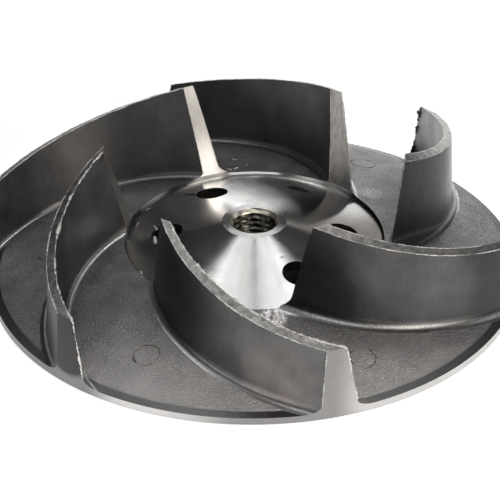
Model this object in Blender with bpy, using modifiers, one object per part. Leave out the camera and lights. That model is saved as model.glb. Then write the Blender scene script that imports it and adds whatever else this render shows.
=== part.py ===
"""Semi-open pump impeller: one investment casting in stainless steel, turned and drilled after casting.

The casting blank is a crowned disc and hub, hollow behind, with six backward-curved vanes on its front.
One turning cut then takes the eye, the vane tips and the outer diameter to size, and drills open the
bore and the four balance holes. Metres, +Z up. The axis of rotation is Z, and the rim land and the hub
boss, on which the impeller rests, are at Z = 0.
"""

import math

import bmesh
import bpy

MM = 0.001

# Overall size
OUTER_RADIUS = 105.0 * MM
VANE_COUNT = 6
TURNED_STEPS = 96
CAST_ALLOWANCE = 2.0 * MM

# Disc: a crowned front skin, a rim land to rest on, and a pocket behind that runs in to the hub boss
SKIN_HEIGHT_AT_EYE = 16.8 * MM
SKIN_HEIGHT_AT_RIM = 2.8 * MM
SKIN_CROWN = 4.7 * MM
SKIN_POINTS = 6
RIM_LAND_WIDTH = 12.0 * MM
DISC_WALL = 5.0 * MM
HUB_WALL = 4.0 * MM
POCKET_POINTS = 4
BOSS_RADIUS = 18.0 * MM
BOSS_DRAFT = 1.5 * MM

# Turned eye: nose, hub cone, a shallow step at its edge, and the cone that faces the leading edges
NOSE_RADIUS = 12.8 * MM
NOSE_HEIGHT = 25.1 * MM
CONE_FOOT_RADIUS = 50.7 * MM
CONE_FOOT_HEIGHT = 15.6 * MM
EYE_RADIUS = 51.3 * MM
EYE_SKIN_OVERLAP = 1.5 * MM
LEADING_TOP_RADIUS = 59.2 * MM
LEADING_TOP_HEIGHT = 55.8 * MM
TRAILING_TOP_HEIGHT = 30.5 * MM
TIP_HOLLOW = 0.65 * MM
TIP_POINTS = 4

# Threaded bore, drawn at its minor diameter, and balance holes in four of the six channels
BORE_RADIUS = 8.15 * MM
BORE_CHAMFER = 1.5 * MM
BALANCE_HOLE_RADIUS = 6.35 * MM
BALANCE_CIRCLE_RADIUS = 34.7 * MM
BALANCE_START_DEG = -0.8
BALANCE_STEPS = 24
DRILLED_CHANNELS = (0, 2, 3, 5)

# Vanes: angle from the circumference, thickness at the tip, and the draft of each side
VANE_START_RADIUS = 45.0 * MM
VANE_END_RADIUS = 108.0 * MM
VANE_STATIONS = 19
INLET_ANGLE_DEG = 38.5
OUTLET_ANGLE_DEG = 24.0
ANGLE_LAW_POWER = 1.8
ANGLE_LAW_START = 52.5 * MM
LEADING_TOP_AZIMUTH_DEG = 235.8
TIP_THICKNESS = 3.2 * MM
OUTER_DRAFT_DEG = 1.8
INNER_DRAFT_DEG = 4.0
ROOT_FILLET = 3.0 * MM
FILLET_POINTS = 3
SIDE_POINTS = 3
ROOT_SINK = 1.5 * MM

# Finish: colour, metallic, roughness, and the angle above which an edge shows as machined
CAST_STEEL = ((0.16, 0.155, 0.15), 0.9, 0.5)
SHARP_ANGLE_DEG = 25.0


def clear_scene():
    for thing in list(bpy.data.objects):
        bpy.data.objects.remove(thing, do_unlink=True)


def make_collection(name):
    collection = bpy.data.collections.new(name)
    bpy.context.scene.collection.children.link(collection)
    return collection


def make_material(name, finish):
    colour, metallic, roughness = finish
    material = bpy.data.materials.new(name)
    material.use_nodes = True
    shader = material.node_tree.nodes["Principled BSDF"]
    shader.inputs["Base Color"].default_value = (*colour, 1.0)
    shader.inputs["Metallic"].default_value = metallic
    shader.inputs["Roughness"].default_value = roughness
    return material


def skin_height(radius):
    """Height of the disc's front skin: a cone with a crown, falling from the eye to the rim."""
    along = (radius - EYE_RADIUS) / (OUTER_RADIUS - EYE_RADIUS)
    fall = SKIN_HEIGHT_AT_EYE - SKIN_HEIGHT_AT_RIM
    return SKIN_HEIGHT_AT_EYE - fall * along + SKIN_CROWN * along * (1.0 - along)


def hub_height(radius):
    """Height of the turned hub cone, between the nose and its foot at the eye."""
    along = (radius - NOSE_RADIUS) / (CONE_FOOT_RADIUS - NOSE_RADIUS)
    return NOSE_HEIGHT + (CONE_FOOT_HEIGHT - NOSE_HEIGHT) * along


def tip_height(radius):
    """Height of the turned vane tips: a cone that is slightly hollow between its ends."""
    along = (radius - LEADING_TOP_RADIUS) / (OUTER_RADIUS - LEADING_TOP_RADIUS)
    fall = LEADING_TOP_HEIGHT - TRAILING_TOP_HEIGHT
    return LEADING_TOP_HEIGHT - fall * along - 4.0 * TIP_HOLLOW * along * (1.0 - along)


def spread(first, last, count):
    return [first + (last - first) * i / (count - 1) for i in range(count)]


def turned_object(name, outline, closed, collection):
    """A solid of revolution from (radius, height) points that run down its outer side."""
    mesh = bpy.data.meshes.new(name)
    edges = [(i, i + 1) for i in range(len(outline) - 1)]
    if closed:
        edges.append((len(outline) - 1, 0))
    mesh.from_pydata([(radius, 0.0, height) for radius, height in outline], edges, [])
    turned = bpy.data.objects.new(name, mesh)
    collection.objects.link(turned)
    screw = turned.modifiers.new("Turn", "SCREW")
    screw.axis = "Z"
    screw.steps = TURNED_STEPS
    screw.render_steps = TURNED_STEPS
    screw.use_merge_vertices = True
    screw.merge_threshold = 0.00001
    return turned


def hide_as_cutter(cutter):
    cutter.hide_render = True
    cutter.display_type = "WIRE"


def make_blank(collection):
    """Cast disc and hub, with metal left on wherever the lathe cuts later."""
    core_radius = BORE_RADIUS - CAST_ALLOWANCE
    skin_start = EYE_RADIUS - EYE_SKIN_OVERLAP
    land_inner = OUTER_RADIUS - RIM_LAND_WIDTH
    front = [
        (core_radius, NOSE_HEIGHT + CAST_ALLOWANCE),
        (NOSE_RADIUS, NOSE_HEIGHT + CAST_ALLOWANCE),
        (skin_start - CAST_ALLOWANCE, skin_height(skin_start) + CAST_ALLOWANCE),
    ]
    front += [
        (radius, skin_height(radius))
        for radius in spread(skin_start, OUTER_RADIUS + CAST_ALLOWANCE, SKIN_POINTS)
    ]
    pocket = [
        (radius, skin_height(radius) - DISC_WALL)
        for radius in spread(land_inner - DISC_WALL, EYE_RADIUS, POCKET_POINTS)
    ]
    boss_top = BOSS_RADIUS + BOSS_DRAFT
    back = [
        (OUTER_RADIUS + CAST_ALLOWANCE, 0.0),
        (land_inner, 0.0),
        *pocket,
        (boss_top, hub_height(boss_top) - HUB_WALL),
        (BOSS_RADIUS, 0.0),
        (core_radius, 0.0),
    ]
    return turned_object("impeller_casting", front + back, True, collection)


def make_turning_cutter(collection):
    """Everything outside the finished eye, vane tips and outer diameter."""
    clear_radius = OUTER_RADIUS * 1.15
    clear_height = LEADING_TOP_HEIGHT * 1.2
    below = -5.0 * MM
    outline = [
        (0.0, clear_height),
        (clear_radius, clear_height),
        (clear_radius, below),
        (OUTER_RADIUS, below),
    ]
    outline += [
        (radius, tip_height(radius))
        for radius in spread(OUTER_RADIUS, LEADING_TOP_RADIUS, TIP_POINTS)
    ]
    outline += [
        (CONE_FOOT_RADIUS, CONE_FOOT_HEIGHT),
        (NOSE_RADIUS, NOSE_HEIGHT),
        (0.0, NOSE_HEIGHT),
    ]
    return turned_object("cut_turning", outline, False, collection)


def make_bore_cutter(collection):
    """Threaded bore at its minor diameter, with a 45 degree chamfer at both ends."""
    over = 1.0 * MM
    wide = BORE_RADIUS + BORE_CHAMFER + over
    outline = [
        (0.0, NOSE_HEIGHT + over),
        (wide, NOSE_HEIGHT + over),
        (BORE_RADIUS, NOSE_HEIGHT - BORE_CHAMFER),
        (BORE_RADIUS, BORE_CHAMFER),
        (wide, -over),
        (0.0, -over),
    ]
    return turned_object("cut_bore", outline, False, collection)


def make_balance_drills(collection):
    depth = 4.0 * NOSE_HEIGHT
    for index in DRILLED_CHANNELS:
        azimuth = math.radians(BALANCE_START_DEG) + index * math.tau / VANE_COUNT
        place = (
            BALANCE_CIRCLE_RADIUS * math.cos(azimuth),
            BALANCE_CIRCLE_RADIUS * math.sin(azimuth),
            0.0,
        )
        mesh = bpy.data.meshes.new(f"cut_balance_hole_{index + 1}")
        shape = bmesh.new()
        bmesh.ops.create_cone(
            shape,
            cap_ends=True,
            segments=BALANCE_STEPS,
            radius1=BALANCE_HOLE_RADIUS,
            radius2=BALANCE_HOLE_RADIUS,
            depth=depth,
        )
        shape.to_mesh(mesh)
        shape.free()
        drill = bpy.data.objects.new(mesh.name, mesh)
        drill.location = place
        collection.objects.link(drill)
        hide_as_cutter(drill)


def vane_angle(radius):
    """Angle between the vane and the circumference, falling from inlet to outlet."""
    along = max(0.0, (radius - ANGLE_LAW_START) / (OUTER_RADIUS - ANGLE_LAW_START))
    fall = INLET_ANGLE_DEG - OUTLET_ANGLE_DEG
    return math.radians(INLET_ANGLE_DEG - fall * along**ANGLE_LAW_POWER)


def camber_azimuth(radius):
    """Polar angle of the vane's middle line, integrated from the vane angle."""
    slices = 48
    step = (radius - LEADING_TOP_RADIUS) / slices
    azimuth = math.radians(LEADING_TOP_AZIMUTH_DEG)
    for i in range(slices):
        middle = LEADING_TOP_RADIUS + (i + 0.5) * step
        azimuth += step / (middle * math.tan(vane_angle(middle)))
    return azimuth


def vane_side(radius, draft_deg):
    """One side of the vane's section, as (distance from the camber, height), from root to tip."""
    ground = skin_height(radius)
    top = tip_height(radius)
    slope = math.tan(math.radians(draft_deg))
    half_tip = 0.5 * TIP_THICKNESS

    def width(height):
        return half_tip + (top - height) * slope

    fillet_top = ground + ROOT_FILLET
    centre = width(fillet_top) + ROOT_FILLET
    points = [(centre, ground - ROOT_SINK)]
    for i in range(FILLET_POINTS):
        turn = 0.5 * math.pi * i / FILLET_POINTS
        points.append((centre - ROOT_FILLET * math.sin(turn), fillet_top - ROOT_FILLET * math.cos(turn)))
    for height in spread(fillet_top, top + CAST_ALLOWANCE, SIDE_POINTS):
        points.append((width(height), height))
    return points


def make_vane(index, collection):
    """One vane, lofted through its sections at growing radius; the turning cut trims its three edges."""
    shape = bmesh.new()
    rings = []
    for radius in spread(VANE_START_RADIUS, VANE_END_RADIUS, VANE_STATIONS):
        azimuth = camber_azimuth(radius) + index * math.tau / VANE_COUNT
        across = radius * math.sin(vane_angle(radius))
        outer = [(-width, height) for width, height in vane_side(radius, OUTER_DRAFT_DEG)]
        inner = vane_side(radius, INNER_DRAFT_DEG)
        ring = []
        for offset, height in outer + inner[::-1]:
            turn = azimuth + offset / across
            ring.append(shape.verts.new((radius * math.cos(turn), radius * math.sin(turn), height)))
        rings.append(ring)
    for near, far in zip(rings, rings[1:]):
        for i in range(len(near)):
            j = (i + 1) % len(near)
            shape.faces.new((near[i], near[j], far[j], far[i]))
    for ring in (rings[0], rings[-1]):
        for i in range(len(ring) // 2 - 1):
            shape.faces.new((ring[i], ring[i + 1], ring[-i - 2], ring[-i - 1]))
    bmesh.ops.recalc_face_normals(shape, faces=shape.faces)
    name = f"cast_vane_{index + 1}"
    mesh = bpy.data.meshes.new(name)
    shape.to_mesh(mesh)
    shape.free()
    vane = bpy.data.objects.new(name, mesh)
    collection.objects.link(vane)
    hide_as_cutter(vane)


def add_boolean(target, name, operation, operands):
    boolean = target.modifiers.new(name, "BOOLEAN")
    boolean.operation = operation
    boolean.solver = "EXACT"
    boolean.operand_type = "COLLECTION"
    boolean.collection = operands


def finish_casting(casting):
    """Keep the cut mesh in place of its modifiers, and shade it smooth between its machined edges."""
    cut = casting.evaluated_get(bpy.context.evaluated_depsgraph_get())
    mesh = bpy.data.meshes.new_from_object(cut)
    casting.modifiers.clear()
    casting.data = mesh
    mesh.shade_smooth()
    mesh.set_sharp_from_angle(angle=math.radians(SHARP_ANGLE_DEG))


def main():
    clear_scene()
    parts = make_collection("Impeller")
    cutters = make_collection("Cutters")
    vanes = make_collection("Cast vanes")

    casting = make_blank(parts)
    casting.data.materials.append(make_material("cast_stainless", CAST_STEEL))
    for index in range(VANE_COUNT):
        make_vane(index, vanes)
    make_balance_drills(cutters)
    hide_as_cutter(make_turning_cutter(cutters))
    hide_as_cutter(make_bore_cutter(cutters))

    add_boolean(casting, "Vanes", "UNION", vanes)
    add_boolean(casting, "Machining", "DIFFERENCE", cutters)
    finish_casting(casting)


main()
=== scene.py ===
import functools
import math

import bmesh
import bpy
from mathutils import Matrix, Vector, noise


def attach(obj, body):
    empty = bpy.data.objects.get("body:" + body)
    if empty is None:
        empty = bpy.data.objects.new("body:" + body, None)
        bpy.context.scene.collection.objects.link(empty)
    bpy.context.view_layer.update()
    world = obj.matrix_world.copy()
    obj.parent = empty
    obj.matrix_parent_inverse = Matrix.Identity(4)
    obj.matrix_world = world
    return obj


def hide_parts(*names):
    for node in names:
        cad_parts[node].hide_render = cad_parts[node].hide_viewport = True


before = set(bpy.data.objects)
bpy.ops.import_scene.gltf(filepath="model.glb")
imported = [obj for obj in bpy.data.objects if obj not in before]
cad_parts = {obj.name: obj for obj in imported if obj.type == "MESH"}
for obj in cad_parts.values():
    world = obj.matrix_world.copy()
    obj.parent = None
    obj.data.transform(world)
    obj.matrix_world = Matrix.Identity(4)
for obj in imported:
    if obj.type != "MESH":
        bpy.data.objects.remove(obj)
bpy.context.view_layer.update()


# The studio: a long lens looks down on a white table in a dim room. A row of softboxes hangs high behind
# the impeller, over a low white sweep. A warm key stands at the front right, with weaker fills around it
# and overhead. Azimuths run anticlockwise from the right, so the camera looks from 270 degrees.
MM = 0.001
CAMERA_TILT_DEG = 32.53
CAMERA_DISTANCE = 1528.9 * MM
CAMERA_LENS_MM = 276.3
AIM_HEIGHT = 11.4 * MM
AIM_PAN_DEG = -0.07
AIM_ROLL_DEG = -0.53
LIGHT_DISTANCE = 1.8
WHITE = (1.0, 1.0, 1.0)
WARM = (1.0, 0.95, 0.88)
ROOM_GREY = 0.02


def place_camera():
    tilt = math.radians(CAMERA_TILT_DEG)
    stand = Vector((0.0, -math.cos(tilt), math.sin(tilt))) * CAMERA_DISTANCE
    forward = (Vector((0.0, 0.0, AIM_HEIGHT)) - stand).normalized()
    right = forward.cross(Vector((0.0, 0.0, 1.0))).normalized()
    turn = Matrix((right, right.cross(forward), -forward)).transposed().to_4x4()
    pan = Matrix.Rotation(math.radians(-AIM_PAN_DEG), 4, "Y")
    roll = Matrix.Rotation(math.radians(AIM_ROLL_DEG), 4, "Z")
    lens = bpy.data.cameras.new("long_lens")
    lens.lens = CAMERA_LENS_MM
    camera = bpy.data.objects.new("long_lens", lens)
    camera.matrix_world = Matrix.Translation(stand) @ turn @ pan @ roll
    bpy.context.scene.collection.objects.link(camera)
    bpy.context.scene.camera = camera


def place_light(name, azimuth_deg, elevation_deg, wide_deg, tall_deg, radiance, tint=WHITE):
    """A flat softbox aimed at the hub, where it fills these widths of azimuth and elevation."""
    closing = math.cos(math.radians(elevation_deg))
    width = 2.0 * LIGHT_DISTANCE * math.tan(math.radians(0.5 * wide_deg)) * closing
    height = 2.0 * LIGHT_DISTANCE * math.tan(math.radians(0.5 * tall_deg))
    lamp = bpy.data.lights.new(name, "AREA")
    lamp.shape = "RECTANGLE"
    lamp.size = width
    lamp.size_y = height
    lamp.energy = radiance * math.pi * width * height
    lamp.color = tint
    light = bpy.data.objects.new(name, lamp)
    raised = Matrix.Rotation(math.radians(-elevation_deg), 3, "Y") @ Vector((1.0, 0.0, 0.0))
    toward = Matrix.Rotation(math.radians(azimuth_deg), 3, "Z") @ raised
    light.location = toward * LIGHT_DISTANCE
    light.rotation_euler = (-toward).to_track_quat("-Z", "Y").to_euler()
    bpy.context.scene.collection.objects.link(light)


place_camera()
place_light("rear_right_bank", 52.0, 67.0, 44.0, 10.0, 5.0)
place_light("rear_right_strip", 81.5, 67.0, 13.0, 10.0, 3.2)
place_light("rear_left_strip", 100.5, 67.0, 17.0, 10.0, 2.9)
place_light("rear_left_bank", 130.0, 67.0, 40.0, 10.0, 5.0)
place_light("white_sweep", 80.0, 7.0, 30.0, 15.0, 2.2)
place_light("right_card", 72.0, 25.0, 14.0, 18.0, 0.35, WARM)
place_light("sweep_top", 90.0, 20.0, 12.0, 14.0, 4.2)
place_light("front_right_key", 315.0, 17.0, 30.0, 28.0, 4.6, WARM)
place_light("key_top", 315.0, 41.0, 30.0, 20.0, 2.6, WARM)
place_light("front_left_fill", 240.0, 8.0, 50.0, 18.0, 2.6)
place_light("left_fill", 222.0, 24.0, 30.0, 14.0, 1.0, WARM)
place_light("left_low", 195.0, 15.0, 30.0, 16.0, 1.2)
place_light("left_top", 185.0, 60.0, 60.0, 14.0, 0.9)
place_light("right_fill", 15.0, 27.0, 30.0, 28.0, 0.7)
place_light("front_softbox", 270.0, 62.0, 60.0, 12.0, 2.0)
place_light("overhead", 90.0, 88.0, 90.0, 30.0, 1.6)
bpy.context.scene.view_settings.view_transform = "Standard"
world = bpy.data.worlds.new("dim_room")
world.use_nodes = True
room_light = world.node_tree.nodes["Background"].inputs["Color"]
room_light.default_value = (ROOM_GREY, ROOM_GREY, ROOM_GREY, 1.0)
bpy.context.scene.world = world


# The table that the impeller stands on: a white sheet, lit from below but for a dark patch under the
# casting, so that the floor is even and without shadow right up to the rim.
TABLE_SIDE = 6.0
TABLE_SINK = 0.2 * MM
TABLE_GLOW = 0.5
RIM_GLOW = 0.75
UNLIT_RADIUS = 100.0 * MM
LIT_RADIUS = 107.0 * MM
FADED_RADIUS = 150.0 * MM
# The sockets of a colour Mix node: its factor, its two colours and its result.
MIX_FACTOR, MIX_FROM, MIX_TO, MIXED = 0, 6, 7, 2


class Tint:
    """A socket in a finish's nodes. Arithmetic on it adds Math nodes, and node() adds any other."""

    def __init__(self, tree, socket=None):
        self.tree = tree
        self.socket = socket

    def node(self, kind, settings, sockets, output=0):
        made = self.tree.nodes.new(kind)
        for name, value in settings.items():
            setattr(made, name, value)
        for name, value in sockets.items():
            if isinstance(value, Tint):
                self.tree.links.new(value.socket, made.inputs[name])
            else:
                made.inputs[name].default_value = value
        return Tint(self.tree, made.outputs[output])

    def maths(self, operation, first, second=0.0):
        return self.node("ShaderNodeMath", {"operation": operation}, {0: first, 1: second})

    def __add__(self, other):
        return self.maths("ADD", self, other)

    def __sub__(self, other):
        return self.maths("SUBTRACT", self, other)

    def __rsub__(self, other):
        return self.maths("SUBTRACT", other, self)

    def __mul__(self, other):
        return self.maths("MULTIPLY", self, other)

    __radd__ = __add__
    __rmul__ = __mul__

    def __truediv__(self, other):
        return self.maths("DIVIDE", self, other)

    def __rtruediv__(self, other):
        return self.maths("DIVIDE", other, self)

    def ramp(self, low, high):
        """0 up to low, 1 from high on, smooth between. With low the greater it runs the other way."""
        return self.node(
            "ShaderNodeMapRange",
            {"interpolation_type": "SMOOTHSTEP"},
            {"Value": self, "From Min": low, "From Max": high},
        )

    def between(self, first, second):
        """The first colour at 0, the second at 1. Each is three numbers, or comes from other nodes."""
        first, second = [end if isinstance(end, Tint) else (*end, 1.0) for end in (first, second)]
        ends = {MIX_FACTOR: self, MIX_FROM: first, MIX_TO: second}
        return self.node("ShaderNodeMix", {"data_type": "RGBA"}, ends, MIXED)

    def axis(self, letter):
        """One coordinate of a place: X to the right, Y to the back, Z up."""
        return self.node("ShaderNodeSeparateXYZ", {}, {"Vector": self}, letter)

    def from_axle(self):
        """How far a place is from the impeller's axis."""
        flat = self.node("ShaderNodeVectorMath", {"operation": "MULTIPLY"}, {0: self, 1: (1.0, 1.0, 0.0)})
        return self.node("ShaderNodeVectorMath", {"operation": "LENGTH"}, {0: flat}, "Value")

    def distance_to(self, spot):
        return self.node("ShaderNodeVectorMath", {"operation": "DISTANCE"}, {0: self, 1: spot}, "Value")

    def grain(self, size, detail=2.0, stretch=(1.0, 1.0, 1.0), roughness=0.5):
        """Soft noise over a place, with features of about this size in metres."""
        scale = tuple(s / size for s in stretch)
        spread_out = self.node("ShaderNodeMapping", {}, {"Vector": self, "Scale": scale})
        sockets = {"Vector": spread_out, "Scale": 1.0, "Detail": detail, "Roughness": roughness}
        return self.node("ShaderNodeTexNoise", {}, sockets)

    def bump(self, depth, strength):
        """A normal, with this value as the height of its bumps."""
        return self.node("ShaderNodeBump", {}, {"Height": self, "Distance": depth, "Strength": strength})


def new_finish(name, metallic=1.0):
    """A named material, its main shader and the place of a point on the casting."""
    finish = bpy.data.materials.new(name)
    finish.use_nodes = True
    shader = finish.node_tree.nodes["Principled BSDF"]
    shader.inputs["Metallic"].default_value = metallic
    place = Tint(finish.node_tree).node("ShaderNodeTexCoord", {}, {}, "Object")
    return finish, shader, place


def wear(shader, **sockets):
    """Links or sets the shader's sockets, named with _ for a space."""
    for name, value in sockets.items():
        socket = shader.inputs[name.replace("_", " ")]
        if isinstance(value, Tint):
            value.tree.links.new(value.socket, socket)
        else:
            socket.default_value = value


def make_table():
    mesh = bpy.data.meshes.new("table")
    half = TABLE_SIDE / 2
    corners = [(x * half, y * half, -TABLE_SINK) for x, y in ((-1, -1), (1, -1), (1, 1), (-1, 1))]
    mesh.from_pydata(corners, [], [(0, 1, 2, 3)])
    table = bpy.data.objects.new("table", mesh)
    bpy.context.scene.collection.objects.link(table)
    finish, shader, place = new_finish("white_table", 0.0)
    mottle = place.grain(50.0 * MM)
    radius = place.from_axle()
    faded = radius.ramp(LIT_RADIUS, FADED_RADIUS)
    glow = radius.ramp(UNLIT_RADIUS, LIT_RADIUS) * (RIM_GLOW - (RIM_GLOW - TABLE_GLOW) * faded)
    wear(
        shader,
        Base_Color=mottle.between((0.95, 0.95, 0.95), (0.97, 0.97, 0.97)),
        Roughness=0.6,
        Emission_Color=glow.between((0.0, 0.0, 0.0), (1.0, 1.0, 1.0)),
        Emission_Strength=1.0,
    )
    mesh.materials.append(finish)


make_table()


# Disc and hub as cast: one stainless investment casting, crowned in front and hollow behind, with a
# pebbled skin that the shot blasting left dark. It has metal to spare wherever the lathe cuts later.
OUTER_RADIUS = 105.0 * MM
CAST_ALLOWANCE = 2.0 * MM
TURNED_STEPS = 600
SKIN_HEIGHT_AT_EYE = 16.8 * MM
SKIN_HEIGHT_AT_RIM = 2.8 * MM
SKIN_CROWN = 4.7 * MM
SKIN_ROWS = 58
BAND_ROWS = 6
BAND_START = OUTER_RADIUS - 3.6 * MM
BAND_STEP_WIDTH = 0.15 * MM
BAND_SLOPE_DEG = 12.0
BAND_BLUR = 0.3 * MM
RIM_LAND_WIDTH = 12.0 * MM
DISC_WALL = 5.0 * MM
HUB_WALL = 4.0 * MM
POCKET_ROWS = 16
BOSS_RADIUS = 18.0 * MM
BOSS_DRAFT = 1.5 * MM
NOSE_RADIUS = 12.8 * MM
NOSE_HEIGHT = 25.1 * MM
CONE_FOOT_RADIUS = 50.7 * MM
CONE_FOOT_HEIGHT = 15.6 * MM
EYE_RADIUS = 51.3 * MM
EYE_SKIN_OVERLAP = 1.5 * MM
BORE_RADIUS = 8.15 * MM
# The skin's pebbles and its slow swell: the height and the size of each.
SKIN_TEXTURE = (0.12 * MM, 1.5 * MM, 0.09 * MM, 6.0 * MM)
BAND_CALM = 0.2
# Toward the front the skin is painted lighter, a painted sheen.
SHEEN_FRONT = (-40.0 * MM, -95.0 * MM)
# Where the tool tore the skin: the place, how far it reaches and how bright it came out.
TORN_SKIN = (
    ((7.0 * MM, -56.0 * MM, 15.8 * MM), 6.5 * MM, 1.0),
    ((47.0 * MM, 36.5 * MM, 15.3 * MM), 6.5 * MM, 0.2),
)


def skin_height(radius):
    """Height of the disc's front skin: a cone with a crown, falling from the eye to the rim."""
    along = (radius - EYE_RADIUS) / (OUTER_RADIUS - EYE_RADIUS)
    fall = SKIN_HEIGHT_AT_EYE - SKIN_HEIGHT_AT_RIM
    return SKIN_HEIGHT_AT_EYE - fall * along + SKIN_CROWN * along * (1.0 - along)


def band_height(radius):
    """Height of the flatter band along the rim, one small step below the skin."""
    return SKIN_HEIGHT_AT_RIM + (OUTER_RADIUS - radius) * math.tan(math.radians(BAND_SLOPE_DEG))


def hub_height(radius):
    """Height of the turned hub cone, between the nose and its foot at the eye."""
    along = (radius - NOSE_RADIUS) / (CONE_FOOT_RADIUS - NOSE_RADIUS)
    return NOSE_HEIGHT + (CONE_FOOT_HEIGHT - NOSE_HEIGHT) * along


def spread(first, last, count):
    """Evenly spaced values, both ends included."""
    return [first + (last - first) * i / (count - 1) for i in range(count)]


def roughcast(point, height, size, swell_height, swell_size):
    """How far the cast skin stands out at a point: pebbles on a slow swell."""
    pebble = noise.noise(point / size)
    swell = noise.noise(point / swell_size)
    return height * pebble + swell_height * swell


def new_piece(name, points, faces, finishes, finish_of=None):
    """A mesh with these finishes. finish_of says which of them each face has, or else all have the first."""
    mesh = bpy.data.meshes.new(name)
    mesh.from_pydata(points, [], faces)
    for finish in finishes:
        mesh.materials.append(finish)
    if finish_of:
        mesh.polygons.foreach_set("material_index", finish_of)
    piece = bpy.data.objects.new(name, mesh)
    bpy.context.scene.collection.objects.link(piece)
    return piece


def ring_points(radius, height, steps):
    """One ring of points around the impeller's axis."""
    return [
        (radius * math.cos(math.tau * i / steps), radius * math.sin(math.tau * i / steps), height)
        for i in range(steps)
    ]


def ring_faces(rows, steps, closed):
    """Quads between rings that run down the outer side. Closed joins the last ring to the first."""
    faces = []
    for row in range(rows if closed else rows - 1):
        near, far = row * steps, (row + 1) % rows * steps
        for i in range(steps):
            j = (i + 1) % steps
            faces.append((near + i, far + i, far + j, near + j))
    return faces


def make_cast_skin():
    finish, shader, place = new_finish("disc_skin")
    band = place.from_axle().ramp(BAND_START - BAND_BLUR, BAND_START + BAND_BLUR)
    blotch = place.grain(9.0 * MM, 3.0)
    speck = place.grain(0.8 * MM, 3.0, roughness=0.65)
    fine = place.grain(0.4 * MM)
    # Painted glints: bright specks painted into the skin's colour, where the fine grain and a broad patch
    # are both high.
    painted_glint = fine.ramp(0.62, 0.72) * place.grain(14.0 * MM).ramp(0.45, 0.65)
    # Painted sheen: the skin's colour grows lighter toward the front.
    painted_front_sheen = place.axis("Y").ramp(*SHEEN_FRONT)
    torn = 0
    for spot, reach, brightness in TORN_SKIN:
        torn = torn + brightness * place.distance_to(spot).ramp(reach, 0.5 * reach)
    torn = torn * speck.ramp(0.42, 0.50)
    mottle = (0.4 * blotch + 0.6 * speck).ramp(0.34, 0.68)
    tone = 0.25 * mottle + 0.06 + 0.41 * painted_front_sheen + 0.6 * painted_glint + torn
    bumps = (0.7 * speck.ramp(0.38, 0.64) + 0.3 * fine) * (1 - 0.85 * band) * (1 - 0.8 * torn)
    wear(
        shader,
        Base_Color=(tone * (1 - band)).between((0.16, 0.157, 0.156), (0.95, 0.925, 0.92)),
        Roughness=(0.50 - 0.10 * speck) * (1 - 0.35 * band) * (1 - 0.6 * torn),
        Normal=bumps.bump(0.35 * MM, 0.9),
    )
    return finish


def make_blank(finish):
    """One revolved outline, from the core over the front and the rim to the hollow back."""
    core_radius = BORE_RADIUS - CAST_ALLOWANCE
    skin_start = EYE_RADIUS - EYE_SKIN_OVERLAP
    land_inner = OUTER_RADIUS - RIM_LAND_WIDTH
    boss_top = BOSS_RADIUS + BOSS_DRAFT
    outline = [
        (core_radius, NOSE_HEIGHT + CAST_ALLOWANCE),
        (NOSE_RADIUS, NOSE_HEIGHT + CAST_ALLOWANCE),
        (skin_start - CAST_ALLOWANCE, skin_height(skin_start) + CAST_ALLOWANCE),
    ]
    outline += [(r, skin_height(r)) for r in spread(skin_start, BAND_START, SKIN_ROWS)]
    band_end = OUTER_RADIUS + CAST_ALLOWANCE
    outline += [(r, band_height(r)) for r in spread(BAND_START + BAND_STEP_WIDTH, band_end, BAND_ROWS)]
    outline += [(band_end, 0.0), (land_inner, 0.0)]
    outline += [
        (r, skin_height(r) - DISC_WALL)
        for r in spread(land_inner - DISC_WALL, EYE_RADIUS, POCKET_ROWS)
    ]
    outline += [
        (boss_top, hub_height(boss_top) - HUB_WALL),
        (BOSS_RADIUS, 0.0),
        (core_radius, 0.0),
    ]
    points = []
    for radius, height in outline:
        for x, y, z in ring_points(radius, height, TURNED_STEPS):
            if skin_start <= radius <= OUTER_RADIUS and height > 0.0:
                calm = BAND_CALM if radius > BAND_START else 1.0
                z += calm * roughcast(Vector((x, y, 0.0)), *SKIN_TEXTURE)
            points.append((x, y, z))
    faces = ring_faces(len(outline), TURNED_STEPS, True)
    return new_piece("impeller_body", points, faces, [finish])


disc_skin = make_cast_skin()
body = make_blank(disc_skin)


# Six backward-curved vanes, cast in one with the disc. Their sides are smoother than the disc, drafted so
# that they leave the mould, and run into the disc through a fillet, wider where a vane leans over.
VANE_COUNT = 6
VANE_START_RADIUS = 45.0 * MM
VANE_END_RADIUS = 108.0 * MM
VANE_STATIONS = 84
INLET_ANGLE_DEG = 38.5
OUTLET_ANGLE_DEG = 24.0
ANGLE_LAW_POWER = 1.8
ANGLE_LAW_START = 52.5 * MM
LEADING_TOP_RADIUS = 59.2 * MM
LEADING_TOP_HEIGHT = 55.8 * MM
LEADING_TOP_AZIMUTH_DEG = 235.8
TRAILING_TOP_HEIGHT = 30.5 * MM
TIP_HOLLOW = 0.65 * MM
TIP_THICKNESS = 3.2 * MM
OUTER_DRAFT_DEG = 1.8
INNER_DRAFT_DEG = 4.0
# Of each vane, at its leading edge: how far the outer side leans, and how much each side is thinned.
LEADING_LEANS_DEG = (1.8, -3.2, -2.0, 1.8, -1.5, -1.0)
OUTER_THINNING = (0.0, -0.9 * MM, 0.0, 0.0, 0.7 * MM, 0.0)
INNER_THINNING = (1.0 * MM, 0.5 * MM, 0.0, 0.0, 0.0, 0.3 * MM)
ROOT_FILLET = 3.0 * MM
LEADING_FILLET = 4.5 * MM
SETTLED_RADIUS = 80.0 * MM
FILLET_ROWS = 7
SIDE_ROWS = 24
ROOT_SINK = 1.5 * MM
# The sides' fine waves and their slow swell: the height and the size of each.
SIDE_TEXTURE = (0.05 * MM, 2.2 * MM, 0.12 * MM, 13.0 * MM)
# One vane came short out of the mould: the gap at its foot, and the radius that the gap has closed by.
SHORT_VANE = 2
SHORT_GAP = 3.2 * MM
SHORT_REACH = 76.0 * MM
# How high up the vanes' root fillets carry a painted highlight.
FILLET_HIGHLIGHT_HEIGHT = 1.7 * MM
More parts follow.
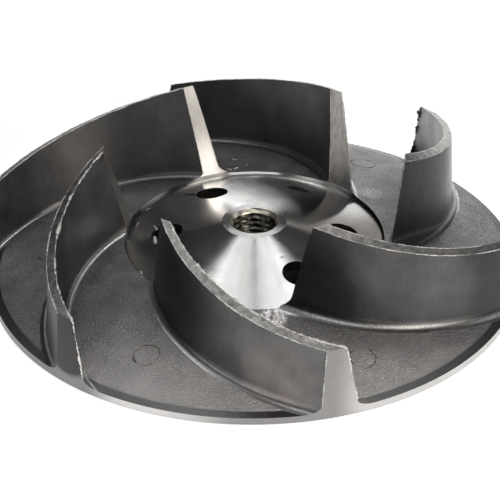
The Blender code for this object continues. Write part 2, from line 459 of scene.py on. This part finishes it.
# Where the sides change their look, each from its first trace to its full strength. They are lighter toward
# the rim, and carry a painted highlight and painted shade at the right, painted shade at the left front and
# painted light at the left back.
FRONT_HALF = (-6.0 * MM, -14.0 * MM)
RIMWARD_RADII = (80.0 * MM, 98.0 * MM)
SIDE_HIGHLIGHT_RADII = (75.0 * MM, 90.0 * MM)
SIDE_HIGHLIGHT_HEIGHTS = (6.0 * MM, 14.0 * MM)
SIDE_SHADE_RIGHT_BACK = (45.0 * MM, 60.0 * MM)
SIDE_SHADE_RIGHT_FRONT = (72.0 * MM, 92.0 * MM)
SIDE_SHADE_LEFT = (-66.0 * MM, -74.0 * MM)
SIDE_SHADE_LEFT_FRONT = (-40.0 * MM, -50.0 * MM)
SIDE_LIGHT_LEFT = (-40.0 * MM, -75.0 * MM)
SIDE_LIGHT_BACK = (-40.0 * MM, -20.0 * MM)
# Two tan stains, by the place of each.
STAINS = ((8.0 * MM, -97.0 * MM, 15.0 * MM), (-72.0 * MM, 54.0 * MM, 26.0 * MM))
STAIN_REACH = 20.0 * MM
STAIN_COLOUR = (0.26, 0.21, 0.20)


def tip_height(radius):
    """Height of the turned vane tips: a cone that is slightly hollow between its ends."""
    along = (radius - LEADING_TOP_RADIUS) / (OUTER_RADIUS - LEADING_TOP_RADIUS)
    fall = LEADING_TOP_HEIGHT - TRAILING_TOP_HEIGHT
    return LEADING_TOP_HEIGHT - fall * along - 4.0 * TIP_HOLLOW * along * (1.0 - along)


def vane_angle(radius):
    """Angle between the vane and the circumference, falling from inlet to outlet."""
    along = max(0.0, (radius - ANGLE_LAW_START) / (OUTER_RADIUS - ANGLE_LAW_START))
    fall = INLET_ANGLE_DEG - OUTLET_ANGLE_DEG
    return math.radians(INLET_ANGLE_DEG - fall * along**ANGLE_LAW_POWER)


@functools.lru_cache(maxsize=None)
def camber_azimuth(radius):
    """Polar angle of the vane's middle line, integrated from the vane angle."""
    slices = 48
    step = (radius - LEADING_TOP_RADIUS) / slices
    azimuth = math.radians(LEADING_TOP_AZIMUTH_DEG)
    for i in range(slices):
        middle = LEADING_TOP_RADIUS + (i + 0.5) * step
        azimuth += step / (middle * math.tan(vane_angle(middle)))
    return azimuth


def leading_radius(height):
    """Radius of the turned leading edges, which lean outward from the foot of the hub cone."""
    lean = (LEADING_TOP_RADIUS - CONE_FOOT_RADIUS) / (LEADING_TOP_HEIGHT - CONE_FOOT_HEIGHT)
    return CONE_FOOT_RADIUS + (height - CONE_FOOT_HEIGHT) * lean


def cast_radius(index, radius, height):
    """Radius that a point of a vane was cast at. The short vane's leading end is clear of the lathe."""
    if index != SHORT_VANE or radius > SHORT_REACH:
        return radius
    below = (LEADING_TOP_HEIGHT - height) / (LEADING_TOP_HEIGHT - CONE_FOOT_HEIGHT)
    start = leading_radius(height) + SHORT_GAP * below
    reach = SHORT_REACH - VANE_START_RADIUS
    return start + (radius - VANE_START_RADIUS) * (SHORT_REACH - start) / reach


def settled(radius):
    """0 at the leading edge, where the vane leans over its inner side, and 1 where the lean has gone."""
    along = min(1.0, max(0.0, (radius - EYE_RADIUS) / (SETTLED_RADIUS - EYE_RADIUS)))
    return along * along * (3.0 - 2.0 * along)


def side_width(index, radius, side, height):
    """Distance of a vane's side from its middle line: the outer side is -1, the inner side 1."""
    draft_deg = INNER_DRAFT_DEG
    thinning = INNER_THINNING[index]
    if side < 0:
        lean_deg = LEADING_LEANS_DEG[index]
        draft_deg = lean_deg + (OUTER_DRAFT_DEG - lean_deg) * settled(radius)
        thinning = OUTER_THINNING[index]
    width = 0.5 * TIP_THICKNESS - thinning * (1.0 - settled(radius))
    return width + (tip_height(radius) - height) * math.tan(math.radians(draft_deg))


def vane_side(index, radius, side):
    """One side of the vane's section, as (distance from the middle line, height), from root to tip."""
    ground = skin_height(radius)
    fillet = ROOT_FILLET
    if side < 0 and LEADING_LEANS_DEG[index] < 0.0:
        fillet = LEADING_FILLET + (ROOT_FILLET - LEADING_FILLET) * settled(radius)
    fillet_top = ground + fillet
    centre = side_width(index, radius, side, fillet_top) + fillet
    points = [(centre, ground - ROOT_SINK)]
    for i in range(FILLET_ROWS):
        turn = 0.5 * math.pi * i / FILLET_ROWS
        points.append((centre - fillet * math.sin(turn), fillet_top - fillet * math.cos(turn)))
    for height in spread(fillet_top, tip_height(radius) + CAST_ALLOWANCE, SIDE_ROWS):
        points.append((side_width(index, radius, side, height), height))
    return points


def make_vane_skin():
    finish, shader, place = new_finish("vane_skin")
    blotch = place.grain(14.0 * MM, 3.0)
    fine = place.grain(0.6 * MM, 3.0, roughness=0.6)
    flow = place.grain(2.0 * MM, 3.0, stretch=(1.0, 1.0, 0.35))
    east = place.axis("X")
    north = place.axis("Y")
    height = place.axis("Z")
    radius = place.from_axle()
    # A painted highlight along the root fillets, which are also a little smoother.
    painted_fillet_highlight = (height - skin_height(radius)).ramp(FILLET_HIGHLIGHT_HEIGHT, 0.3 * FILLET_HIGHLIGHT_HEIGHT)
    front = north.ramp(*FRONT_HALF)
    right_front = front * east.ramp(*SIDE_SHADE_RIGHT_FRONT)
    right_back = (1 - front) * east.ramp(*SIDE_SHADE_RIGHT_BACK)
    left_front = east.ramp(*SIDE_SHADE_LEFT) * north.ramp(*SIDE_SHADE_LEFT_FRONT)
    # Lighter toward the rim, but not at the right.
    rimward_lighter = radius.ramp(*RIMWARD_RADII) * (1 - right_front) * (1 - right_back)
    # A painted highlight on the upper sides at the right back.
    painted_side_highlight = right_back * radius.ramp(*SIDE_HIGHLIGHT_RADII) * height.ramp(*SIDE_HIGHLIGHT_HEIGHTS)
    # Painted light on the sides at the left back.
    painted_side_light = east.ramp(*SIDE_LIGHT_LEFT) * north.ramp(*SIDE_LIGHT_BACK)
    # Painted shade on the sides at the right back, the right front and the left front.
    painted_side_shade = 0.9 * right_back * (1 - painted_side_highlight) + 0.65 * right_front + 0.5 * left_front
    tone = 0.11 + 0.14 * (0.6 * blotch + 0.25 * fine + 0.15 * flow).ramp(0.26, 0.76)
    tone = tone * (1 + 0.45 * rimward_lighter + 3.4 * painted_side_highlight + 1.7 * painted_side_light) * (1 - painted_side_shade)
    tone = tone + 1.1 * painted_fillet_highlight * fine.ramp(0.25, 0.55)
    grey = tone.between((0.03, 0.0297, 0.0297), (0.42, 0.413, 0.411))
    stain = 0
    for spot in STAINS:
        stain = stain + place.distance_to(spot).ramp(STAIN_REACH, 0.3 * STAIN_REACH)
    wear(
        shader,
        Base_Color=(0.6 * stain * blotch).between(grey, STAIN_COLOUR),
        Roughness=0.44 - 0.08 * flow - 0.1 * painted_fillet_highlight,
        Normal=(0.7 * fine + 0.3 * flow).bump(0.1 * MM, 0.7),
    )
    return finish


def make_vanes(finish):
    """Six closed lofts, each a ring of section points at every station from the eye to the rim."""
    points = []
    faces = []
    for index in range(VANE_COUNT):
        first = len(points)
        for radius in spread(VANE_START_RADIUS, VANE_END_RADIUS, VANE_STATIONS):
            outer = [(-width, height) for width, height in vane_side(index, radius, -1)]
            section = outer + vane_side(index, radius, 1)[::-1]
            for offset, height in section:
                reach = cast_radius(index, radius, height)
                across = reach * math.sin(vane_angle(reach))
                turn = camber_azimuth(reach) + index * math.tau / VANE_COUNT + offset / across
                spot = Vector((reach * math.cos(turn), reach * math.sin(turn), height))
                turn += math.copysign(roughcast(spot, *SIDE_TEXTURE), offset) / across
                points.append((reach * math.cos(turn), reach * math.sin(turn), height))
        size = len(section)
        for station in range(VANE_STATIONS - 1):
            near = first + station * size
            for i in range(size):
                j = (i + 1) % size
                faces.append((near + i, near + size + i, near + size + j, near + j))
        for start, ahead in ((first, True), (first + (VANE_STATIONS - 1) * size, False)):
            for i in range(size // 2 - 1):
                strip = (start + i, start + i + 1, start + size - i - 2, start + size - i - 1)
                faces.append(strip if ahead else strip[::-1])
    return new_piece("cast_vanes", points, faces, [finish])


vane_skin = make_vane_skin()
vanes = make_vanes(vane_skin)


# Turning. One set-up on the lathe cuts the nose, the hub cone, the shallow step at its edge, the leading
# edges, the vane tips and the outer diameter. The hub comes out bright, the interrupted cuts greyer.
TIP_ROWS = 24
CONE_ROWS = 10
CUTTER_CORE = 0.5 * MM
CUTTER_REACH = 1.15 * OUTER_RADIUS
CUTTER_TOP = 1.2 * LEADING_TOP_HEIGHT
CUTTER_FOOT = -5.0 * MM
TOOL_FEED = 0.25 * MM
STEP_TOP_HEIGHT = 17.6 * MM
STEP_CHAMFER = 0.85 * MM
STEP_CHAMFER_HEIGHT = 16.1 * MM
# Where the turned faces change their look, each from its first trace to its full strength. One trailing face
# is painted in shade, the rim is painted in shade in the middle and at the left, the hub's step is painted
# in shade but for its middle, and the leading edges at the right are darker.
SHADED_FACE_AZIMUTH_DEG = 226.8
SHADED_FACE_HEIGHT = 18.0 * MM
SHADED_FACE_REACH = (15.0 * MM, 12.0 * MM)
RIM_SHADE_FROM = (-30.0 * MM, -8.0 * MM)
RIM_SHADE_TO = (42.0 * MM, 28.0 * MM)
RIM_SHADE_LEFT = (-52.0 * MM, -66.0 * MM)
STEP_RADII = (50.6 * MM, 50.75 * MM)
STEP_LIT_FROM = (-20.0 * MM, -8.0 * MM)
STEP_LIT_TO = (44.0 * MM, 36.0 * MM)
DARKER_RIGHT_EDGES = (0.0, 20.0 * MM)


def polar(radius, azimuth_deg, height):
    turn = math.radians(azimuth_deg)
    return Vector((radius * math.cos(turn), radius * math.sin(turn), height))


def make_turned_hub():
    finish, shader, place = new_finish("turned_hub")
    radius = place.from_axle()
    rings = {"W": radius / TOOL_FEED, "Scale": 1.0, "Detail": 2.0}
    groove = place.node("ShaderNodeTexNoise", {"noise_dimensions": "1D"}, rings)
    smear = place.grain(7.0 * MM, 3.0)
    east = place.axis("X")
    lit = east.ramp(*STEP_LIT_TO) * (0.4 + 0.6 * east.ramp(*STEP_LIT_FROM))
    unlit_step = radius.ramp(*STEP_RADII) * (1 - lit)
    tone = (0.8 + 0.2 * (0.5 * smear + 0.5 * groove).ramp(0.25, 0.75)) * (1 - unlit_step)
    wear(
        shader,
        Base_Color=tone.between((0.05, 0.048, 0.045), (0.74, 0.73, 0.72)),
        Roughness=0.18 + 0.06 * smear,
        Anisotropic=0.93,
        Anisotropic_Rotation=0.25,
        Normal=groove.bump(0.01 * MM, 0.5),
    )
    return finish


def make_turned_rim():
    finish, shader, place = new_finish("turned_rim")
    smear = place.grain(12.0 * MM, 3.0)
    lines = place.grain(0.3 * MM, stretch=(0.05, 0.05, 1.0))
    # Painted shade on one trailing face.
    shaded_face = polar(OUTER_RADIUS, SHADED_FACE_AZIMUTH_DEG, SHADED_FACE_HEIGHT)
    face_shade = place.distance_to(shaded_face).ramp(*SHADED_FACE_REACH)
    east = place.axis("X")
    # Painted shade on the rim, in the middle and at the left.
    grey = 0.55 * east.ramp(*RIM_SHADE_FROM) * east.ramp(*RIM_SHADE_TO) + 0.65 * east.ramp(*RIM_SHADE_LEFT)
    tone = (0.85 + 0.15 * (0.8 * smear + 0.2 * lines).ramp(0.3, 0.7)) * (1 - face_shade) * (1 - grey)
    wear(
        shader,
        Base_Color=tone.between((0.06, 0.058, 0.057), (0.56, 0.55, 0.545)),
        Roughness=0.30 + 0.08 * smear,
        Normal=lines.bump(0.01 * MM, 0.15),
    )
    return finish


def make_turned_tips():
    finish, shader, place = new_finish("turned_tips")
    smear = place.grain(3.0 * MM, 3.0)
    tear = place.grain(0.5 * MM, 3.0, roughness=0.65)
    tone = (0.45 * smear + 0.55 * tear).ramp(0.34, 0.66)
    wear(
        shader,
        Base_Color=tone.between((0.19, 0.186, 0.178), (0.60, 0.587, 0.573)),
        Roughness=0.34 + 0.15 * tear,
        Anisotropic=0.4,
        Anisotropic_Rotation=0.25,
        Normal=tear.bump(0.05 * MM, 0.6),
    )
    return finish


def make_turned_leads():
    finish, shader, place = new_finish("turned_leads")
    streak = place.grain(0.9 * MM, 3.0, stretch=(1.0, 1.0, 0.06))
    tear = place.grain(0.6 * MM)
    # The leading edges are darker toward the right.
    darker_right = place.axis("X").ramp(*DARKER_RIGHT_EDGES)
    tone = (0.75 * streak + 0.25 * tear).ramp(0.3, 0.66)
    tone = (0.88 + 0.12 * tone) * (1 - darker_right) + (0.2 + 0.26 * tone) * darker_right
    wear(
        shader,
        Base_Color=tone.between((0.16, 0.148, 0.138), (0.88, 0.86, 0.84)),
        Roughness=0.24 + 0.14 * streak,
        Normal=streak.bump(0.03 * MM, 0.5),
    )
    return finish


def make_turning_cutter(rim, tips, leads, hub):
    """All that the lathe takes off, as one revolved outline. Its faces have the finish that a cut leaves."""
    outline = [(CUTTER_CORE, CUTTER_TOP), (CUTTER_REACH, CUTTER_TOP), (CUTTER_REACH, CUTTER_FOOT)]
    outline += [(OUTER_RADIUS, CUTTER_FOOT), (OUTER_RADIUS, 0.5 * TRAILING_TOP_HEIGHT)]
    rim_rows = len(outline) - 1
    outline += [(r, tip_height(r)) for r in spread(OUTER_RADIUS, LEADING_TOP_RADIUS, TIP_ROWS)]
    tip_rows = len(outline) - 1
    outline += [(leading_radius(STEP_TOP_HEIGHT), STEP_TOP_HEIGHT)]
    lead_rows = len(outline) - 1
    chamfer_radius = leading_radius(STEP_CHAMFER_HEIGHT)
    outline += [(chamfer_radius + STEP_CHAMFER, STEP_CHAMFER_HEIGHT + STEP_CHAMFER)]
    outline += [(chamfer_radius, STEP_CHAMFER_HEIGHT)]
    outline += [(r, hub_height(r)) for r in spread(CONE_FOOT_RADIUS, NOSE_RADIUS, CONE_ROWS)]
    outline += [(CUTTER_CORE, NOSE_HEIGHT)]
    points = []
    for radius, height in outline:
        points += ring_points(radius, height, TURNED_STEPS)
    faces = ring_faces(len(outline), TURNED_STEPS, True)
    finish_of = []
    for row in range(len(outline)):
        finish = (row > rim_rows) + (row >= tip_rows) + (row >= lead_rows)
        finish_of += [finish] * TURNED_STEPS
    return new_piece("lathe_cut", points, faces, [rim, tips, leads, hub], finish_of)


turned_finishes = (make_turned_rim(), make_turned_tips(), make_turned_leads(), make_turned_hub())
lathe_cut = make_turning_cutter(*turned_finishes)


# Bore, balance holes and tool marks. The bore is tapped 3/4 inch, ten threads to the inch, and chamfered
# at both ends. Four half-inch holes are drilled through the hub cone, in two opposite pairs of channels.
# An ejector pin of the wax mould left a ring in each channel, and tools left shallow marks on the cone.
BORE_CHAMFER = 1.5 * MM
THREAD_PITCH = 2.54 * MM
THREAD_DEPTH = 1.35 * MM
THREAD_CREST = 0.125
THREAD_STEPS = 96
THREAD_ROWS_PER_PITCH = 8
BALANCE_HOLE_RADIUS = 6.35 * MM
BALANCE_CIRCLE_RADIUS = 34.7 * MM
BALANCE_START_DEG = -0.8
BALANCE_STEPS = 64
DRILLED_CHANNELS = (0, 2, 3, 5)
DRILL_OVERSHOOT = 1.0 * MM
MARK_RADIUS = 5.0 * MM
MARK_CIRCLE_RADIUS = 82.5 * MM
MARK_START_DEG = -1.7
MARK_SHIFT = Vector((1.7 * MM, -1.6 * MM, 0.0))
MARK_STEPS = 40
MARK_SIDES = 8
MARK_SPAN_DEG = 352.0
MARK_HALF_WIDTH = 0.3 * MM
MARK_PATCH = 3.0 * MM
MARK_DEPTH = 0.25 * MM
MARK_FAINTEST = 0.1
SCOOP_STEPS = 16
SCOOP_SIDES = 16
SCOOP_ROUNDNESS = 0.6
SCOOP_TAPER = 0.7
# Each tool mark: its blunt end and its thin end, as (radius, azimuth), then its half width and depth.
HUB_SCOOPS = (
    ((39.0 * MM, 70.0), (38.6 * MM, 54.0), 3.4 * MM, 0.5 * MM),
    ((38.5 * MM, 127.5), (44.5 * MM, 131.0), 1.3 * MM, 0.12 * MM),
    ((24.9 * MM, 293.5), (24.6 * MM, 297.5), 0.35 * MM, 0.15 * MM),
)


def make_bore_steel():
    finish, shader, place = new_finish("bore_steel")
    smear = place.grain(2.0 * MM, 3.0)
    # Painted light and shade: the bore's inside is painted dark, and its mouth chamfer carries a warm
    # painted highlight.
    mouth_highlight = place.axis("Z").ramp(NOSE_HEIGHT - 1.2 * BORE_CHAMFER, NOSE_HEIGHT - BORE_CHAMFER)
    tone = 0.3 * smear.ramp(0.3, 0.7) + 0.7 * mouth_highlight
    wear(
        shader,
        Base_Color=tone.between((0.045, 0.043, 0.04), (0.86, 0.83, 0.70)),
        Roughness=0.22 + 0.15 * smear,
    )
    return finish


def make_shaded_drilled_steel():
    # Painted shade: the holes' walls and the rings' grooves are painted dark, with horizontal streaks.
    finish, shader, place = new_finish("shaded_drilled_steel")
    lines = place.grain(0.8 * MM, stretch=(0.15, 0.15, 1.0))
    wear(
        shader,
        Base_Color=lines.ramp(0.3, 0.7).between((0.07, 0.064, 0.058), (0.24, 0.225, 0.205)),
        Roughness=0.30 + 0.15 * lines,
    )
    return finish


def make_dark_mark_steel():
    # A near-black finish for the tool marks on the hub cone.
    finish, shader, place = new_finish("dark_mark_steel")
    dark_mottle = place.grain(1.5 * MM, 3.0)
    wear(
        shader,
        Base_Color=dark_mottle.ramp(0.3, 0.7).between((0.03, 0.031, 0.032), (0.07, 0.072, 0.075)),
        Roughness=0.45 + 0.2 * dark_mottle,
    )
    return finish


def thread_radius(height, turn):
    """Radius of the tapped hole: a 60 degree V that climbs one pitch a turn, opened by the chamfers."""
    phase = (height / THREAD_PITCH - turn / math.tau) % 1.0
    vee = max(0.0, 1.0 - abs(2.0 * phase - 1.0) / (1.0 - THREAD_CREST))
    chamfer = max(height - (NOSE_HEIGHT - BORE_CHAMFER), BORE_CHAMFER - height, 0.0)
    return BORE_RADIUS + max(THREAD_DEPTH * vee, chamfer)


def capped_faces(rows, steps):
    """Faces of a stack of rings, closed by a cap at each end."""
    last = (rows - 1) * steps
    caps = [tuple(range(steps)), tuple(last + steps - 1 - i for i in range(steps))]
    return ring_faces(rows, steps, False) + caps


def tube(points, faces, path, rings, sides):
    """Adds a closed tube along a path, and returns its count of faces.

    Each ring is (across, up): the two half axes of its section.
    """
    first = len(points)
    for spot, (across, up) in zip(path, rings):
        for i in range(sides):
            turn = math.tau * i / sides
            points.append(tuple(spot + across * math.cos(turn) + up * math.sin(turn)))
    made = capped_faces(len(path), sides)
    faces.extend(tuple(first + i for i in face) for face in made)
    return len(made)


def scoop(points, faces, blunt, thin, half_width, depth):
    """A shallow teardrop sunk half into the hub cone."""
    slope = (NOSE_HEIGHT - CONE_FOOT_HEIGHT) / (CONE_FOOT_RADIUS - NOSE_RADIUS)
    path = []
    rings = []
    for along in spread(0.0, 1.0, SCOOP_STEPS):
        radius = blunt[0] + (thin[0] - blunt[0]) * along
        path.append(polar(radius, blunt[1] + (thin[1] - blunt[1]) * along, hub_height(radius)))
    ahead = (path[-1] - path[0]).normalized()
    normal = polar(slope, 0.5 * (blunt[1] + thin[1]), 1.0)
    upright = (normal - ahead * normal.dot(ahead)).normalized()
    for along in spread(0.02, 0.98, SCOOP_STEPS):
        size = math.sin(math.pi * along) ** SCOOP_ROUNDNESS * (1.0 - SCOOP_TAPER * along)
        rings.append((ahead.cross(upright) * half_width * size, upright * depth * size))
    return tube(points, faces, path, rings, SCOOP_SIDES)


def ring_mark(points, faces, middle):
    """The shallow ring that an ejector pin left in the disc's skin, worn unevenly and open at one place."""
    path = []
    rings = []
    for turn_deg in spread(0.0, MARK_SPAN_DEG, MARK_STEPS):
        spoke = polar(1.0, turn_deg, 0.0)
        spot = middle + spoke * MARK_RADIUS
        spot.z = skin_height(spot.length)
        path.append(spot)
        worn = max(MARK_FAINTEST, 0.7 + 1.2 * noise.noise(spot / MARK_PATCH))
        rings.append((spoke * MARK_HALF_WIDTH * worn, Vector((0.0, 0.0, MARK_DEPTH * worn))))
    return tube(points, faces, path, rings, MARK_SIDES)


def balance_hole(points, faces, azimuth_deg):
    """A drill right through the hub, parallel to the axis."""
    reach = 2.0 * NOSE_HEIGHT
    path = [polar(BALANCE_CIRCLE_RADIUS, azimuth_deg, height) for height in (reach, -reach)]
    across = Vector((BALANCE_HOLE_RADIUS, 0.0, 0.0))
    up = Vector((0.0, BALANCE_HOLE_RADIUS, 0.0))
    return tube(points, faces, path, [(across, up)] * 2, BALANCE_STEPS)


def make_drills(bore, drilled, dark_marks):
    """All that is taken out after turning: the tapped bore first, then the holes and the marks."""
    rows = int((NOSE_HEIGHT + 2 * DRILL_OVERSHOOT) / THREAD_PITCH * THREAD_ROWS_PER_PITCH)
    points = []
    for height in spread(NOSE_HEIGHT + DRILL_OVERSHOOT, -DRILL_OVERSHOOT, rows):
        for i in range(THREAD_STEPS):
            turn = math.tau * i / THREAD_STEPS
            radius = thread_radius(height, turn)
            points.append((radius * math.cos(turn), radius * math.sin(turn), height))
    faces = capped_faces(rows, THREAD_STEPS)
    finish_of = [0] * len(faces)
    for index in range(VANE_COUNT):
        channel_deg = index * 360.0 / VANE_COUNT
        if index in DRILLED_CHANNELS:
            finish_of += [1] * balance_hole(points, faces, BALANCE_START_DEG + channel_deg)
        middle = polar(MARK_CIRCLE_RADIUS, MARK_START_DEG + channel_deg, 0.0) + MARK_SHIFT
        finish_of += [1] * ring_mark(points, faces, middle)
    for tool_mark in HUB_SCOOPS:
        finish_of += [2] * scoop(points, faces, *tool_mark)
    return new_piece("drills", points, faces, [bore, drilled, dark_marks], finish_of)


drills = make_drills(make_bore_steel(), make_shaded_drilled_steel(), make_dark_mark_steel())


# The casting as it leaves the machines: disc, hub and vanes are one piece of stainless steel, and every
# cut has its own finish. Cut edges are crisp, and edges that were cast are soft.
SHARP_ANGLE_DEG = 40.0
TURNED_SHARP_ANGLE_DEG = 7.0
SLIVER = 0.002 * MM


def cut(target, operation, tool):
    boolean = target.modifiers.new(tool.name, "BOOLEAN")
    boolean.operation = operation
    boolean.solver = "MANIFOLD"
    boolean.material_mode = "TRANSFER"
    boolean.object = tool


def sharpen(mesh):
    """Merges the slivers that the cuts left, and marks the crisp edges.

    They are those where two finishes meet, or where the angle across is too great for the finish.
    """
    shape = bmesh.new()
    shape.from_mesh(mesh)
    bmesh.ops.remove_doubles(shape, verts=shape.verts, dist=SLIVER)
    bmesh.ops.dissolve_degenerate(shape, edges=shape.edges, dist=SLIVER)
    turned = [i for i, finish in enumerate(mesh.materials) if finish.name.startswith("turned")]
    for edge in shape.edges:
        if len(edge.link_faces) != 2:
            continue
        near, far = edge.link_faces
        limit = TURNED_SHARP_ANGLE_DEG if near.material_index in turned else SHARP_ANGLE_DEG
        same = near.material_index == far.material_index
        edge.smooth = same and edge.calc_face_angle(0.0) < math.radians(limit)
    shape.to_mesh(mesh)
    shape.free()


def machine_casting():
    cut(body, "UNION", vanes)
    cut(body, "DIFFERENCE", lathe_cut)
    cut(body, "DIFFERENCE", drills)
    machined = body.evaluated_get(bpy.context.evaluated_depsgraph_get())
    mesh = bpy.data.meshes.new_from_object(machined)
    body.modifiers.clear()
    body.data = mesh
    mesh.shade_smooth()
    sharpen(mesh)
    for tool in (vanes, lathe_cut, drills):
        bpy.data.objects.remove(tool)


machine_casting()
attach(body, "root")
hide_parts("impeller_casting")


# Burrs. The lathe tool dragged a ragged wire edge along the vanes wherever it ran off the metal: down
# both sides of every tip, leading edge and trailing face. Torn scraps of the same steel stick to the hub
# and the skin around it. All of them belong to the casting and were never dressed off.
BURR_STEP = 0.4 * MM
TIP_LENGTH_RATIO = 1.7
BURR_RADIUS = 0.17 * MM
BURR_SIDES = 6
BURR_WANDER = 0.12 * MM
BURR_PATCH = 6.0 * MM
BURR_TOOTH = 0.8 * MM
BURR_FINEST = 0.15
BURR_SHINE = 0.3
BURR_SEED = 11
# How far apart the burrs' noise is sampled, by vane, side and edge.
BURR_SHIFT = (0.37, 0.21, 0.11)
# By vane, edge and side: how much thicker than the others a burr is. At 0 the edge has none.
ROUGH_BURRS = {
    (0, "tip", 1): 3.2,
    (0, "tip", -1): 1.5,
    (0, "trailing", 1): 2.4,
    (0, "leading", -1): 0.0,
    (1, "leading", -1): 0.0,
    (1, "tip", -1): 1.4,
    (2, "leading", -1): 0.7,
    (2, "tip", -1): 0.6,
    (2, "trailing", 1): 5.4,
    (3, "leading", -1): 1.8,
    (4, "tip", 1): 1.8,
    (4, "tip", -1): 1.4,
    (5, "leading", 1): 0.0,
    (5, "leading", -1): 0.0,
    (5, "tip", 1): 3.2,
    (5, "tip", -1): 1.3,
    (5, "trailing", 1): 2.6,
    (5, "trailing", -1): 0.0,
}
# The burr that is as dark as the vanes' sides.
DARK_BURRS = ((2, "trailing", 1),)
SCRAP_LIFT = 0.05 * MM
SCRAP_STEPS = 6
# Torn scraps around the hub: both ends as (radius in mm, azimuth in degrees), then the thickness in mm.
SCRAPS = (
    ((57.0, 102.0), (54.5, 99.5), 0.5),
    ((55.5, 98.5), (56.5, 96.5), 0.4),
    ((66.1, 96.0), (66.1, 97.5), 0.8),
    ((59.2, 92.3), (59.2, 93.2), 0.4),
    ((40.5, 169.0), (39.0, 173.5), 0.5),
    ((39.5, 183.0), (39.5, 186.5), 0.9),
    ((54.0, 273.5), (55.5, 274.5), 0.9),
    ((53.0, 276.5), (54.0, 278.0), 1.0),
    ((55.5, 276.5), (57.0, 277.5), 0.9),
    ((56.5, 279.5), (58.5, 280.5), 0.45),
    ((52.5, 274.5), (52.8, 276.0), 0.45),
    ((54.5, 279.5), (55.5, 281.0), 0.7),
    ((57.5, 276.0), (58.5, 277.0), 0.4),
    ((52.0, 211.0), (51.8, 214.0), 0.5),
    ((50.5, 207.5), (51.0, 210.0), 0.5),
    ((48.5, 149.0), (49.5, 151.5), 0.25),
    ((48.0, 163.0), (48.6, 166.5), 0.3),
    ((53.0, 158.0), (53.4, 160.5), 0.35),
)


def vane_spot(index, radius, side, height):
    """A point on a vane's side: the outer side is -1, the inner side 1."""
    turn = camber_azimuth(radius) + index * math.tau / VANE_COUNT
    turn += side * side_width(index, radius, side, height) / (radius * math.sin(vane_angle(radius)))
    return polar(radius, math.degrees(turn), height)


def wire_edge(points, faces, path, thickness, shift):
    """A ragged tube along a path: thick and thin in patches, with fine teeth. Each shift gives another."""
    rings = []
    ragged = []
    for i, spot in enumerate(path):
        ahead = (path[min(i + 1, len(path) - 1)] - path[max(i - 1, 0)]).normalized()
        across = ahead.orthogonal().normalized()
        sample = shift + spot
        rag = 0.6 + 1.1 * noise.noise(sample / BURR_PATCH) + 0.9 * noise.noise(sample / BURR_TOOTH)
        radius = thickness * max(BURR_FINEST, rag)
        rings.append((across * radius, across.cross(ahead) * radius))
        wander = noise.noise_vector(sample / BURR_TOOTH) * BURR_WANDER * thickness / BURR_RADIUS
        ragged.append(spot + wander)
    return tube(points, faces, ragged, rings, BURR_SIDES)


def burr_steps(low, high, ratio=1.0):
    """Values from low to high, so close together that a burr's joints don't show."""
    return spread(low, high, int((high - low) / BURR_STEP * ratio))


def vane_edges(index, side):
    """The three edges of one side of a vane: its tip, its leading edge and its trailing face."""
    tip = []
    for radius in burr_steps(LEADING_TOP_RADIUS, OUTER_RADIUS, TIP_LENGTH_RATIO):
        tip.append(vane_spot(index, radius, side, tip_height(radius)))
    leading = []
    for height in burr_steps(skin_height(EYE_RADIUS) + 0.5 * ROOT_FILLET, LEADING_TOP_HEIGHT):
        radius = leading_radius(height)
        if index == SHORT_VANE:
            radius = cast_radius(index, VANE_START_RADIUS, height)
        leading.append(vane_spot(index, radius, side, height))
    trailing = []
    for height in burr_steps(SKIN_HEIGHT_AT_RIM + ROOT_FILLET, tip_height(OUTER_RADIUS)):
        trailing.append(vane_spot(index, OUTER_RADIUS, side, height))
    return {"tip": tip, "leading": leading, "trailing": trailing}


def make_burr_steel():
    finish, shader, place = new_finish("burr_steel", BURR_SHINE)
    fleck = place.grain(0.6 * MM)
    wear(
        shader,
        Base_Color=fleck.ramp(0.3, 0.7).between((0.50, 0.49, 0.485), (0.88, 0.87, 0.86)),
        Roughness=0.3 + 0.2 * fleck,
    )
    return finish


def make_burrs(bright, dark):
    noise.seed_set(BURR_SEED)
    points = []
    faces = []
    finish_of = []
    for index in range(VANE_COUNT):
        for side in (-1, 1):
            for place, path in vane_edges(index, side).items():
                edge = (index, place, side)
                rough = ROUGH_BURRS.get(edge, 1.0)
                if not rough:
                    continue
                shift = [step * count for step, count in zip(BURR_SHIFT, (index, side, len(place)))]
                made = wire_edge(points, faces, path, BURR_RADIUS * rough, Vector(shift))
                finish_of += [int(edge in DARK_BURRS)] * made
    for start, end, thickness in SCRAPS:
        path = []
        for along in spread(0.0, 1.0, SCRAP_STEPS):
            radius = (start[0] + (end[0] - start[0]) * along) * MM
            ground = hub_height(radius) if radius < CONE_FOOT_RADIUS else skin_height(radius)
            path.append(polar(radius, start[1] + (end[1] - start[1]) * along, ground + SCRAP_LIFT))
        finish_of += [0] * wire_edge(points, faces, path, thickness * MM, Vector((start[1], 0.0, 0.0)))
    burrs = new_piece("edge_burrs", points, faces, [bright, dark], finish_of)
    burrs.data.shade_smooth()
    return burrs


burrs = make_burrs(make_burr_steel(), vane_skin)
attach(burrs, "root")
